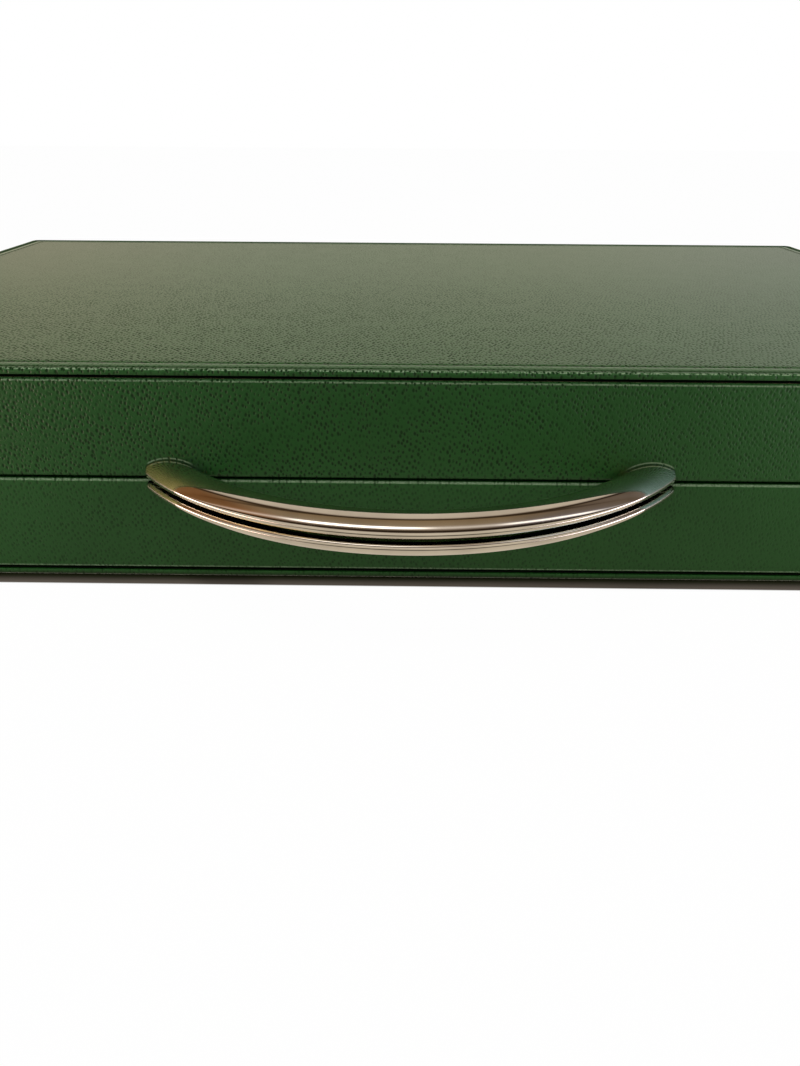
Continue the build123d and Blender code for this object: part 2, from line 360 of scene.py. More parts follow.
class Effects:
    """Shader node groups that several finishes share. Each one is built when it is first asked for, and then kept."""

    # Limits, in metres or for the pits in cells. A step has two, or four with its values at both. A window has four:
    # where it starts, is full, starts to fade and ends. The ones called INSETS count inwards from the plan's edge,
    # DROPS from the nearer cover's face or from a painted highlight line, and those for the handle's feet from the
    # foot's outline.
    LID_LEVELS = (0.0455, 0.0475, 0.6, 1.0)
    COVER_DROPS = (0.002, 0.001)
    FACE_DROPS = (0.002, 0.0015)
    FRONT_TO_BACK = (0.06, -0.17, -0.5, 0.5)
    OFF_MIDDLE = (0.04, 0.26, 1.3, 0.6)
    PIT_REACHES = (0.38, 0.15)
    HOLLOW_REACHES = (0.48, 0.10)
    # The fold's limits place painted shade, and the lip's, edges', feet's and rim's place painted highlights.
    FOLD_INSETS = (0.0015, 0.0022, 0.0046, 0.0060)
    LIP_INSETS = (0.0056, 0.0068, 0.0084, 0.0094)
    EDGE_INSETS = (0.0013, 0.0009, 0.0, 0.85)
    EDGE_DROPS = (0.0004, 0.0001)
    FOOT_DROPS = (0.0005, 0.0001)
    RIM_LEVELS = (0.0006, 0.0002)
    # Limits round the handle's feet, where a painted highlight line lies above each foot and painted shade along the
    # metal
    SEAT_LIP = 0.0008
    SEAT_LIP_WIDTHS = (0.00045, 0.0001)
    SEAT_LIP_RISES = (0.003, 0.0065)
    SEAT_LIP_ENDS = (-0.0213, -0.0158, -0.0012, 0.0002)
    SEAT_GAP = (0.0007, 0.0003)

    # Limits of noise, which set how much of a surface each mark takes up
    EACH_PIT = (0.0, 0.5, 0.5, 1.0)
    PATCHES = (0.3, 0.6, 0.5, 1.0)
    # Breaks the painted edge highlights into short glints.
    WEAR = (0.42, 0.58, 0.1, 1.0)
    HAIRS = (0.6, 0.78)
    SMUDGES = (0.35, 0.7)
    DRIFTS = (0.35, 0.65)
    PORES = (0.6, 0.75)

    @staticmethod
    def group(name: str, inputs: dict[str, float | None], outputs: Iterable[str]) -> tuple[
            bpy.types.NodeTree, Wiring, dict[str, Socket]]:
        """Starts a shader node group with named sockets.

        Args:
            name: Name of the group.
            inputs: Starting value of each number, or None for a vector.
            outputs: Names of the numbers that the group puts out.

        Returns:
            The group, its wiring, and the sockets of its inputs by name.
        """
        tree = bpy.data.node_groups.new(name, "ShaderNodeTree")
        for label, value in inputs.items():
            kind = "NodeSocketVector" if value is None else "NodeSocketFloat"
            socket = tree.interface.new_socket(name=label, in_out="INPUT", socket_type=kind)
            if value is not None:
                socket.default_value = value
        for label in outputs:
            tree.interface.new_socket(name=label, in_out="OUTPUT", socket_type="NodeSocketFloat")
        w = Wiring(tree)
        return tree, w, w.add("NodeGroupInput").outputs

    @staticmethod
    @cache
    def pebble_grain() -> bpy.types.NodeTree:
        """Embossed leather grain: low pebbles, with small dark pits between them in oblique rows.

        The grain lies flat on the case's large faces and is folded down over its edges. Wrap is 1 for a hide that is
        wrapped round the case's walls, and 0 for one that lies on a small piece inside. The pits are deepest where
        the case's length reaches Firmest. They are shallower on the base, and towards the back of the covers.

        Returns:
            The group: height of the grain, depth of its pits, and a slow change of tone.
        """
        inputs = {"Vector": None, "Pitch": 0.0020, "Wrap": 1.0, "Firmest": -0.06, **PLAN, **LEVEL}
        tree, w, into = Effects.group("Pebble Grain", inputs, ("Height", "Pits", "Tone"))
        at = w.split(into["Vector"])
        wrap, half_height = into["Wrap"], into["Half Height"]
        on_long_wall = w.math("LESS_THAN", w.within(at[1], into["Half Depth"]), w.within(at[0], into["Half Length"]))
        drop = w.within(w.minus(at[2], half_height), half_height)
        fold_x = w.times(drop, w.minus(1.0, on_long_wall), w.math("SIGN", at[0]))
        fold_y = w.times(drop, on_long_wall, w.math("SIGN", at[1]))
        u = w.plus(at[0], w.times(fold_x, wrap))
        v = w.plus(at[1], w.times(fold_y, wrap), w.times(w.minus(1.0, wrap), at[2]))
        flat = w.add("CombineXYZ", {0: u, 1: v}).outputs[0]
        rows = {"Vector": flat, "Rotation": (0.0, 0.0, 0.5), "Scale": (1.2, 0.75, 1.0)}
        rows = w.add("Mapping", rows).outputs[0]
        sway = w.add("TexNoise", {"Vector": rows, "Scale": 45.0, "Detail": 1.0}).outputs["Color"]
        sway = w.add("VectorMath", {0: sway, 1: (0.004, 0.004, 0.0)}, operation="MULTIPLY").outputs[0]
        rows = w.add("VectorMath", {0: rows, 1: sway}, operation="ADD").outputs[0]
        scale = w.math("DIVIDE", 1.0, into["Pitch"])
        cells = w.add("TexVoronoi", {"Vector": rows, "Scale": scale, "Randomness": 0.6}, voronoi_dimensions="2D")
        own = w.split(cells.outputs["Color"])
        reach = w.math("DIVIDE", cells.outputs["Distance"], w.math("MULTIPLY_ADD", own[0], 0.5, 0.7))
        each_pit = w.step(own[1], *Effects.EACH_PIT)
        patches = w.step(w.noise(flat, 70.0, 2.0), *Effects.PATCHES)
        on_lid = w.step(at[2], *Effects.LID_LEVELS)
        on_cover = w.step(drop, *Effects.COVER_DROPS)
        to_front = w.plus(w.times(on_cover, w.step(at[1], *Effects.FRONT_TO_BACK)), 1.0)
        to_middle = w.step(w.apart(at[0], into["Firmest"]), *Effects.OFF_MIDDLE)
        depth = w.times(each_pit, patches, on_lid, to_front, to_middle)
        pits = w.times(w.step(reach, *Effects.PIT_REACHES), depth)
        hollows = w.times(w.step(reach, *Effects.HOLLOW_REACHES), depth)
        pebbles = w.noise(rows, w.times(scale, 3.0), 2.0)
        height = w.minus(w.math("MULTIPLY_ADD", pebbles, 0.5, 1.0), hollows)
        w.add("NodeGroupOutput", {"Height": height, "Pits": pits, "Tone": w.noise(into["Vector"], 14.0, 3.0)})
        return tree

    @staticmethod
    @cache
    def plan_border() -> bpy.types.NodeTree:
        """Where a place lies in the case's plan.

        Returns:
            The group: distance in from the plan's edge, in metres.
        """
        tree, w, into = Effects.group("Plan Border", {"Vector": None, **PLAN}, ("Inset",))
        at = w.split(into["Vector"])
        inset = w.math("MINIMUM", w.within(at[0], into["Half Length"]), w.within(at[1], into["Half Depth"]))
        w.add("NodeGroupOutput", {"Inset": inset})
        return tree

    @staticmethod
    @cache
    def burnished_edges() -> bpy.types.NodeTree:
        """Painted highlights along the cover's edge and lip, each wall's foot and the lower rim, and painted shade in
        the cover's fold.

        Cover and Foot are how far below a cover's face its edge and the wall's foot lie, and Rim is the rim's level.

        Returns:
            The group: masks of the painted highlights on the polished edges, and of the painted shade in the fold.
        """
        inputs = {"Vector": None, "Inset": 0.0, "Cover": 0.0004, "Foot": 0.0050, "Rim": 0.0459, **LEVEL}
        tree, w, into = Effects.group("Burnished Edges", inputs, ("Edge", "Fold"))
        inset, half_height = into["Inset"], into["Half Height"]
        level = w.split(into["Vector"])[2]
        drop = w.within(w.minus(level, half_height), half_height)
        on_face = w.step(drop, *Effects.FACE_DROPS)
        # Painted shade in the cover's fold, and a painted highlight on its lip
        fold = w.times(w.window(inset, *Effects.FOLD_INSETS), on_face)
        lip = w.times(w.window(inset, *Effects.LIP_INSETS), on_face, 0.22)
        # Painted highlight lines on the cover's edge, the walls' feet and only the lower rim, which faces up into the
        # light; noise breaks them into glints
        cover = w.step(w.apart(drop, into["Cover"]), *Effects.EDGE_DROPS)
        cover = w.times(cover, w.step(inset, *Effects.EDGE_INSETS))
        foot = w.step(w.apart(drop, into["Foot"]), *Effects.FOOT_DROPS)
        rim = w.step(w.apart(level, into["Rim"]), *Effects.RIM_LEVELS)
        glints = w.step(w.noise(into["Vector"], 1500.0, 0.0), *Effects.WEAR)
        line = w.times(w.math("MAXIMUM", foot, rim), w.math("MULTIPLY_ADD", glints, 0.35, 0.3))
        edge = w.math("MAXIMUM", w.times(cover, glints), line)
        w.add("NodeGroupOutput", {"Edge": w.math("MAXIMUM", edge, lip), "Fold": fold})
        return tree

    @staticmethod
    @cache
    def handle_seat() -> bpy.types.NodeTree:
        """Painted light round each foot of the handle on the flat wall: a painted highlight above it and painted shade
        along the metal.

        The foot is where the bow's ring meets the wall. Centre is how far the ring's middle lies behind the wall, Ring
        its radius, Dome the radius of the bar's section, Sunk how far the section's middle lies past the seam, Tip the
        far end of the foot, and Front a plane just behind the wall's face.

        Returns:
            The group: masks of the painted highlight above the foot and of the painted shade along the metal.
        """
        inputs = {"Vector": None, "Centre": 0.0803, "Ring": 0.1291, "Dome": 0.0112, "Sunk": 0.003, "Tip": 0.1103,
                  "Front": -0.1905, **LEVEL}
        tree, w, into = Effects.group("Handle Seat", inputs, ("Lip", "Gap"))
        at = w.split(into["Vector"])
        along = w.math("ABSOLUTE", at[0])
        rise = w.minus(at[2], into["Half Height"])
        across = w.minus(w.length(along, into["Centre"]), into["Ring"])
        off_dome = w.minus(w.length(across, w.plus(w.math("ABSOLUTE", rise), into["Sunk"])), into["Dome"])
        beyond = w.minus(along, into["Tip"])
        off = w.math("MAXIMUM", off_dome, beyond)
        front = w.math("LESS_THAN", at[1], into["Front"])
        # A painted highlight line above the foot, and painted shade along the metal
        lip = w.times(w.step(w.apart(off, Effects.SEAT_LIP), *Effects.SEAT_LIP_WIDTHS), front,
                      w.step(rise, *Effects.SEAT_LIP_RISES), w.window(beyond, *Effects.SEAT_LIP_ENDS))
        w.add("NodeGroupOutput", {"Lip": lip, "Gap": w.times(w.step(off, *Effects.SEAT_GAP), front)})
        return tree

    @staticmethod
    @cache
    def handling_marks() -> bpy.types.NodeTree:
        """Faint smudges and hair scratches that change how a surface shines.

        Returns:
            The group: roughness to add, and height of the scratches.
        """
        tree, w, into = Effects.group("Handling Marks", {"Vector": None, "Smudge": 0.06, "Scratch": 0.04},
                                      ("Roughness", "Height"))
        hairs = {"Vector": into["Vector"], "Rotation": (0.2, 0.3, 0.9), "Scale": (60.0, 2200.0, 900.0)}
        lines = w.step(w.noise(w.add("Mapping", hairs).outputs[0], 1.0, 1.0), *Effects.HAIRS)
        smudge = w.times(w.step(w.noise(into["Vector"], 35.0, 3.0), *Effects.SMUDGES), into["Smudge"])
        w.add("NodeGroupOutput", {"Roughness": w.plus(smudge, w.times(lines, into["Scratch"])), "Height": lines})
        return tree

    @staticmethod
    @cache
    def suede_nap() -> bpy.types.NodeTree:
        """Short suede fibres that lie in drifting patches.

        Returns:
            The group: height of the fibres, and how light they are.
        """
        tree, w, into = Effects.group("Suede Nap", {"Vector": None, "Fibre": 0.0006}, ("Height", "Shade"))
        drift = w.step(w.noise(into["Vector"], 22.0, 3.0, 0.6), *Effects.DRIFTS)
        fibres = w.noise(into["Vector"], w.math("DIVIDE", 1.0, into["Fibre"]), 3.0)
        w.add("NodeGroupOutput", {"Height": fibres, "Shade": w.plus(w.times(drift, 0.7), w.times(fibres, 0.3))})
        return tree

    @staticmethod
    @cache
    def wood_grain() -> bpy.types.NodeTree:
        """Long streaks and short pores of pale timber.

        Returns:
            The group: the streaks, and a mask of the pores.
        """
        tree, w, into = Effects.group("Wood Grain", {"Vector": None, "Width": 0.004}, ("Streak", "Pore"))
        drawn = w.add("Mapping", {"Vector": into["Vector"], "Scale": (0.12, 1.0, 1.0)}).outputs[0]
        streak = w.noise(drawn, w.math("DIVIDE", 1.0, into["Width"]), 4.0)
        w.add("NodeGroupOutput", {"Streak": streak, "Pore": w.step(w.noise(drawn, 2600.0, 2.0), *Effects.PORES)})
        return tree


@dataclass(frozen=True)
class Finish:
    """What every finish has: a name, a colour and how rough it is."""

    name: str
    colour: Colour
    roughness: float

    def build(self) -> bpy.types.Material:
        """Makes the material: a surface shader with this finish's inputs.

        Returns:
            The material.
        """
        material = bpy.data.materials.new(self.name)
        material.use_nodes = True
        material.diffuse_color = (*self.colour, 1.0)
        w = Wiring(material.node_tree)
        shader = w.add("BsdfPrincipled", self.surface(w, w.add("TexCoord").outputs["Object"]))
        w.add("OutputMaterial", {"Surface": shader.outputs[0]})
        return material

    def surface(self, w: Wiring, place: Socket) -> Inputs:
        """Works out what the surface shader takes. Each finish has its own way.

        Args:
            w: The material's wiring.
            place: Object coordinates.

        Returns:
            The shader's inputs by name.
        """
        raise NotImplementedError

    def toned(self, factor: float) -> Colour:
        """The finish's colour, made darker or lighter."""
        return tuple(min(1.0, factor * c) for c in self.colour)


@dataclass(frozen=True)
class Leather(Finish):
    """Embossed leather. border is true for the outside of the case, where the lip is smooth, edges carry painted
    highlights, and the fold and crevices carry painted shade.
    """

    # The pits' colour, which is also the colour that the painted shade darkens towards
    pit_colour: Colour = (0.01, 0.02, 0.01)
    pitch: float = 0.0020
    relief: float = 0.00018
    pit_strength: float = 0.95
    pit_dullness: float = 0.16
    # Colour of the painted highlights on the edges, and the roughness of the edges' polish
    worn_colour: Colour = (0.24, 0.32, 0.20)
    worn_roughness: float = 0.22
    specular: float = 0.25
    border: bool = False

    # Where the grain is pressed flat, in metres in from the plan's edge, and how much
    pressed_insets: tuple[float, ...] = (0.0042, 0.0056, 0.0082, 0.0098)
    pressing: float = 0.7

    # How far the ambient occlusion of the painted shade reaches, and how open a place is where that shade starts and is
    # darkest
    air_distance: float = 0.008
    air: tuple[float, ...] = (0.8, 0.35, 0.0, 0.9)

    def surface(self, w: Wiring, place: Socket) -> Inputs:
        """Grain with dark dull pits, over a hide with painted highlights and painted shade where it has a border.

        Args:
            w: The material's wiring.
            place: Object coordinates.

        Returns:
            The shader's inputs by name.
        """
        grain = w.effect(Effects.pebble_grain(), Vector=place, Pitch=self.pitch, Wrap=float(self.border))
        pits, height = grain["Pits"], grain["Height"]
        tone = w.step(grain["Tone"], 0.3, 0.7, 0.95, 1.04)
        shade = w.add("CombineXYZ", {0: tone, 1: tone, 2: tone}).outputs[0]
        colour = w.mix(1.0, self.colour, shade, "MULTIPLY")
        rough = self.roughness
        if self.border:
            inset = w.effect(Effects.plan_border(), Vector=place)["Inset"]
            pressed = w.minus(1.0, w.times(w.window(inset, *self.pressed_insets), self.pressing))
            pits, height = w.times(pits, pressed), w.times(height, pressed)
            colour, rough = self._worn(w, place, inset, colour)
        colour = w.mix(w.times(pits, self.pit_strength), colour, self.pit_colour)
        rough = w.plus(rough, w.times(pits, self.pit_dullness))
        return {"Base Color": colour, "Roughness": rough, "Specular IOR Level": self.specular,
                "Normal": w.bump(height, 1.0, self.relief)}

    def _worn(self, w: Wiring, place: Socket, inset: Socket, colour: Socket) -> tuple[Socket, Socket]:
        """Paints shade into the hide's fold, its crevices and along the handle's feet, paints highlights on its edges,
        and polishes them.

        Args:
            w: The material's wiring.
            place: Object coordinates.
            inset: Distance in from the edge of the case's plan.
            colour: The hide's colour so far.

        Returns:
            The new colour and the roughness.
        """
        edge_light = w.effect(Effects.burnished_edges(), Vector=place, Inset=inset)
        foot_light = w.effect(Effects.handle_seat(), Vector=place)
        # Painted shade: darker towards the pits' colour where ambient occlusion finds crevices, in the cover's fold and
        # along the handle's feet
        open_air = w.add("AmbientOcclusion", {"Distance": self.air_distance}, samples=6).outputs["AO"]
        dark = w.step(open_air, *self.air), w.times(edge_light["Fold"], 0.5), w.times(foot_light["Gap"], 0.8)
        for mask in dark:
            colour = w.mix(mask, colour, self.pit_colour)
        # Painted highlights on the edges, the lip and above the handle's feet, where the leather is also polished to a
        # lower roughness
        polish_and_highlight = w.math("MAXIMUM", edge_light["Edge"], w.times(foot_light["Lip"], 0.6))
        colour = w.mix(w.times(polish_and_highlight, 0.85), colour, self.worn_colour)
        rough = w.step(polish_and_highlight, 0.0, 1.0, self.roughness, self.worn_roughness)
        return colour, w.plus(rough, w.times(edge_light["Fold"], 0.4))


@dataclass(frozen=True)
class Suede(Finish):
    """Suede or fine felt with a soft nap."""

    fibre: float = 0.0006
    sheen: float = 0.25
    relief: float = 0.0002

    def surface(self, w: Wiring, place: Socket) -> Inputs:
        """A nap, darker and lighter in turn.

        Args:
            w: The material's wiring.
            place: Object coordinates.

        Returns:
            The shader's inputs by name.
        """
        nap = w.effect(Effects.suede_nap(), Vector=place, Fibre=self.fibre)
        colour = w.mix(nap["Shade"], self.toned(0.6), self.toned(1.25))
        return {"Base Color": colour, "Roughness": self.roughness, "Specular IOR Level": 0.2,
                "Sheen Weight": self.sheen, "Sheen Roughness": 0.4, "Normal": w.bump(nap["Height"], 0.6, self.relief)}


@dataclass(frozen=True)
class Timber(Finish):
    """Plain pale timber."""

    width: float = 0.004
    relief: float = 0.0002

    def surface(self, w: Wiring, place: Socket) -> Inputs:
        """Streaks, with darker pores.

        Args:
            w: The material's wiring.
            place: Object coordinates.

        Returns:
            The shader's inputs by name.
        """
        wood = w.effect(Effects.wood_grain(), Vector=place, Width=self.width)
        colour = w.mix(w.step(wood["Streak"], 0.3, 0.7), self.toned(0.62), self.colour)
        colour = w.mix(w.times(wood["Pore"], 0.5), colour, self.toned(0.4))
        return {"Base Color": colour, "Roughness": self.roughness, "Normal": w.bump(wood["Streak"], 0.3, self.relief)}


@dataclass(frozen=True)
class Metal(Finish):
    """Polished or brushed metal with the marks of handling."""

    smudge: float = 0.05
    scratch: float = 0.04
    relief: float = 0.000002

    def surface(self, w: Wiring, place: Socket) -> Inputs:
        """Metal, duller in patches and where it was handled.

        Args:
            w: The material's wiring.
            place: Object coordinates.

        Returns:
            The shader's inputs by name.
        """
        marks = w.effect(Effects.handling_marks(), Vector=place, Smudge=self.smudge, Scratch=self.scratch)
        colour = w.mix(w.step(w.noise(place, 60.0, 3.0), 0.35, 0.7), self.colour, self.toned(0.86))
        return {"Base Color": colour, "Metallic": 1.0, "Roughness": w.plus(self.roughness, marks["Roughness"]),
                "Normal": w.bump(marks["Height"], 0.3, self.relief)}


@dataclass(frozen=True)
class Thread(Finish):
    """Waxed sewing thread with a twist."""

    twist: float = 0.0006
    relief: float = 0.0001

    def surface(self, w: Wiring, place: Socket) -> Inputs:
        """Plies, dark between them.

        Args:
            w: The material's wiring.
            place: Object coordinates.

        Returns:
            The shader's inputs by name.
        """
        turned = w.add("Mapping", {"Vector": place, "Rotation": (0.0, 0.0, 0.7)}).outputs[0]
        ply = w.add("TexWave", {"Vector": turned, "Scale": 0.5 / self.twist, "Distortion": 1.0}).outputs[1]
        return {"Base Color": w.mix(ply, self.toned(0.45), self.colour), "Roughness": self.roughness,
                "Normal": w.bump(ply, 0.6, self.relief)}


class Finishes:
    """Every finish of the case, made once."""

    def __init__(self) -> None:
        """Makes the materials."""
        racing = (0.0125, 0.061, 0.0112)
        pit = (0.0006, 0.019, 0.0008)
        fine = {"pitch": 0.0013, "relief": 0.00008}
        self.case = Leather("case_leather", racing, 0.37, pit, border=True).build()
        self.divider = Leather("divider_leather", racing, 0.45, pit).build()
        self.field = Leather("field_leather", (0.022, 0.070, 0.035), 0.5, (0.010, 0.034, 0.018), **fine).build()
        self.ivory = Leather("ivory_leather", (0.72, 0.65, 0.50), 0.45, (0.45, 0.38, 0.26), **fine).build()
        self.tan = Leather("tan_leather", (0.38, 0.18, 0.065), 0.45, (0.20, 0.085, 0.03), **fine).build()
        self.lining = Suede("lining_suede", (0.028, 0.075, 0.045), 0.9).build()
        self.rack = Suede("rack_suede", (0.34, 0.20, 0.10), 0.9).build()
        # Near-black, sheen-free lining of the cover groove: painted shade
        self.reveal = Suede("reveal_felt", (0.003, 0.006, 0.002), 0.95, sheen=0.0).build()
        self.thread = Thread("stitch_thread", (0.006, 0.020, 0.006), 0.7).build()
        self.boards = Timber("wall_timber", (0.56, 0.40, 0.24), 0.6).build()
        self.plywood = Timber("plywood", (0.60, 0.44, 0.27), 0.65, width=0.006).build()
        self.handle = Metal("handle_nickel", (0.80, 0.75, 0.68), 0.035, smudge=0.035).build()
        self.brass = Metal("hinge_brass", (0.76, 0.56, 0.26), 0.22, smudge=0.12, scratch=0.12).build()
        self.steel = Metal("screw_steel", (0.58, 0.57, 0.55), 0.28, smudge=0.1, scratch=0.1).build()
        self.magnet = Metal("magnet_nickel", (0.70, 0.69, 0.66), 0.18).build()


def dress(node: str, material: bpy.types.Material) -> None:
    """Gives a CAD node a better material.

    Args:
        node: The node's name.
        material: Its new material.
    """
    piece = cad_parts[node]
    if not piece.material_slots:
        piece.data.materials.append(material)
    for slot in piece.material_slots:
        slot.material = material


def finish_pair(piece: Piece, parting: float, material: bpy.types.Material,
                replaced: str | None = None) -> None:
    """Turns a tray's new piece over for the other tray, finishes both and reports them.

    Args:
        piece: The piece, whose name starts with its side's prefix.
        parting: Level at which the trays part.
        material: Material of both pieces.
        replaced: The CAD nodes that they replace, without the prefix, if any.
    """
    prefix, name = piece.name.split("_", 1)
    own, other = Side if prefix == Side.LOWER.prefix else reversed(Side)
    for side, each in ((own, piece), (other, Bench.turned_over(piece, other.node(name), parting))):
        each.data.materials.clear()
        each.data.materials.append(material)
        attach(each, side.value)
        if replaced:
            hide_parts(side.node(replaced))
        log.info("%s: %d faces, rides %s", each.name, len(each.data.polygons), side.value)


@dataclass
class Covers:
    """The large stitched leather panels of both trays."""

    finishes: Finishes
    parting: float
    corner_radius: float = 5 * MM
    edge_radius: float = 1.2 * MM
    lip_height: float = 0.05 * MM
    stitch_inset: float = 10 * MM
    stitch_pitch: float = 5.3 * MM
    stitch_length: float = 3.6 * MM
    stitch_radius: float = 0.42 * MM
    stitch_slant: float = math.radians(11)
    valley_level: float = -0.62 * MM
    corner_segments: int = 8
    edge_segments: int = 5
    under_segments: int = 2

    # How far a stitch stands out of the valley, and how far its ends dip, as shares of its radius
    stitch_lift: float = 0.45
    stitch_dip: float = 0.5
    smooth_angle: float = 50

    # How each stitch of a group of three differs: turn, length and shift along the row
    habits: tuple[Triple, ...] = ((-0.04, 1.0, 0.0), (0.05, 0.93, 0.12 * MM), (0.0, 1.06, -0.1 * MM))

    # Section of the soft border: how far in from the edge, and how far above the edge
    section: tuple[tuple[float, float], ...] = (
        (1.8, 0.0), (2.5, -0.16), (3.4, -0.48), (4.4, -0.5), (5.8, -0.3), (7.0, -0.1), (7.9, 0.0), (8.8, -0.04),
        (9.4, -0.24), (10.0, -0.62), (10.6, -0.26), (11.4, -0.08), (12.6, 0.0),
    )

    def build(self) -> None:
        """Builds the upper panel and its stitches, and turns them over for the lower tray."""
        low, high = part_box("upper_cover_panel")
        panel = self._panel(low, high)
        stitches = self._stitches(high)
        for piece in (panel, stitches):
            Bench.smooth(piece, self.smooth_angle)
        finish_pair(panel, self.parting, self.finishes.case, "cover_panel")
        finish_pair(stitches, self.parting, self.finishes.thread)

    def _panel(self, low: Vector, high: Vector) -> Piece:
        """Shapes the upper panel: rounded plan, soft edge, and the lip and valley of its border.

        Args:
            low: Lowest corner of the CAD panel.
            high: Its highest corner.

        Returns:
            The panel.
        """
        top = high.z - self.lip_height
        panel = Bench.box("upper_cover_leather", low, Vector((high.x, high.y, top)))
        Bench.edit(panel)
        Bench.pick(panel, "EDGE", lambda at, way: abs(way.z) > UPRIGHT)
        bpy.ops.mesh.bevel(offset=self.corner_radius, segments=self.corner_segments, affect="EDGES")
        edges = (top, self.edge_radius, self.edge_segments), (low.z, self.edge_radius / 3, self.under_segments)
        for level, radius, segments in edges:
            Bench.pick(panel, "EDGE", lambda at, way: abs(at.z - level) < TOUCH)
            bpy.ops.mesh.bevel(offset=radius, segments=segments, affect="EDGES")
        Bench.pick(panel, "FACE", lambda at, way: way.z > UPRIGHT and abs(at.z - top) < TOUCH)
        inset, level = self.edge_radius / MM, 0.0
        for next_inset, next_level in self.section:
            self._draw_in(panel, (next_inset - inset) * MM, (next_level - level) * MM)
            inset, level = next_inset, next_level
        Bench.clear()
        return panel

    def _draw_in(self, panel: Piece, inset: float, rise: float) -> None:
        """Extrudes the selected face and moves each of its corners inwards, so that its corner radius stays.

        Args:
            panel: The panel, open in edit mode.
            inset: How far its corners move in along each side.
            rise: How far they move up.
        """
        bpy.ops.mesh.extrude_region()
        drawn = [vertex.index for vertex in bmesh.from_edit_mesh(panel.data).verts if vertex.select]
        for sx, sy in CORNERS:
            self._choose(panel, drawn, lambda at: at.x * sx > 0 and at.y * sy > 0)
            bpy.ops.transform.translate(value=(-sx * inset, -sy * inset, rise))
        self._choose(panel, drawn, lambda at: True)
        bpy.ops.mesh.select_mode(type="FACE")

    def _choose(self, panel: Piece, listed: Sequence[int], test: Callable[[Vector], bool]) -> None:
        """Selects listed corners of the panel, and nothing else.

        Args:
            panel: The panel, open in edit mode.
            listed: Numbers of the corners that may be selected.
            test: Takes a corner's place.
        """
        bpy.ops.mesh.select_mode(type="VERT")
        bpy.ops.mesh.select_all(action="DESELECT")
        mesh = bmesh.from_edit_mesh(panel.data)
        mesh.verts.ensure_lookup_table()
        for index in listed:
            mesh.verts[index].select_set(test(mesh.verts[index].co))
        mesh.select_flush(True)
        bmesh.update_edit_mesh(panel.data)

    def _stitches(self, high: Vector) -> Piece:
        """Sews the upper panel along each side, with one stitch across each corner.

        Args:
            high: Highest corner of the CAD panel.

        Returns:
            All the stitches.
        """
        level = high.z - self.lip_height + self.valley_level + self.stitch_radius * self.stitch_lift
        row_x = high.x - self.stitch_inset
        row_y = high.y - self.stitch_inset
        straight_x = 2 * (row_x - self.corner_radius)
        straight_y = 2 * (row_y - self.corner_radius)
        rows = []
        for sign in (-1, 1):
            rows += self._row(Vector((-straight_x / 2, sign * row_y, level)), 0.0, straight_x)
            rows += self._row(Vector((sign * row_x, -straight_y / 2, level)), math.pi / 2, straight_y)
        bend = self.corner_radius * (1 - math.sqrt(0.5))
        for sx, sy in CORNERS:
            at = Vector((sx * (row_x - bend), sy * (row_y - bend), level))
            rows.append(self._stitch(at, -sx * sy * math.pi / 4, self.stitch_length))
        return Bench.joined(rows, "upper_cover_stitches")

    def _row(self, start: Vector, angle: float, length: float) -> list[Piece]:
        """Repeats three stitches, each a little different, in turn along a straight row.

        Args:
            start: Where the row starts.
            angle: The row's direction.
            length: Its length.

        Returns:
            The row, as one piece for each of the three.
        """
        turns = round(length / self.stitch_pitch / len(self.habits))
        pitch = length / turns / len(self.habits)
        way = Vector((math.cos(angle), math.sin(angle), 0))
        stitches = []
        for place, (slant, stretch, slip) in enumerate(self.habits):
            at = start + way * (pitch * (place + 0.5) + slip)
            stitch = self._stitch(at, angle + self.stitch_slant + slant, self.stitch_length * stretch)
            Bench.modifier(stitch, "ARRAY", count=turns, use_relative_offset=False, use_constant_offset=True,
                           constant_offset_displace=way * pitch * len(self.habits))
            stitches.append(stitch)
        return stitches

    def _stitch(self, at: Vector, angle: float, length: float) -> Piece:
        """Shapes one stitch: a short round thread whose ends dip into the leather.

        Args:
            at: Its middle.
            angle: Its direction.
            length: Its length.

        Returns:
            The stitch.
        """
        Bench.clear()
        bpy.ops.mesh.primitive_uv_sphere_add(segments=6, ring_count=6, radius=self.stitch_radius,
                                             rotation=(0, math.pi / 2, 0))
        stitch = Bench.named("stitch")
        Bench.settle(stitch)
        Bench.edit(stitch)
        reach = length / 2 - self.stitch_radius
        for sign in (-1, 1):
            Bench.pick(stitch, "VERT", lambda place, way: place.x * sign > TOUCH)
            bpy.ops.transform.translate(value=(sign * reach, 0, -self.stitch_radius * self.stitch_dip))
        Bench.clear()
        stitch.matrix_world = Matrix.Translation(at) @ Matrix.Rotation(angle, 4, "Z")
        Bench.settle(stitch)
        return stitch


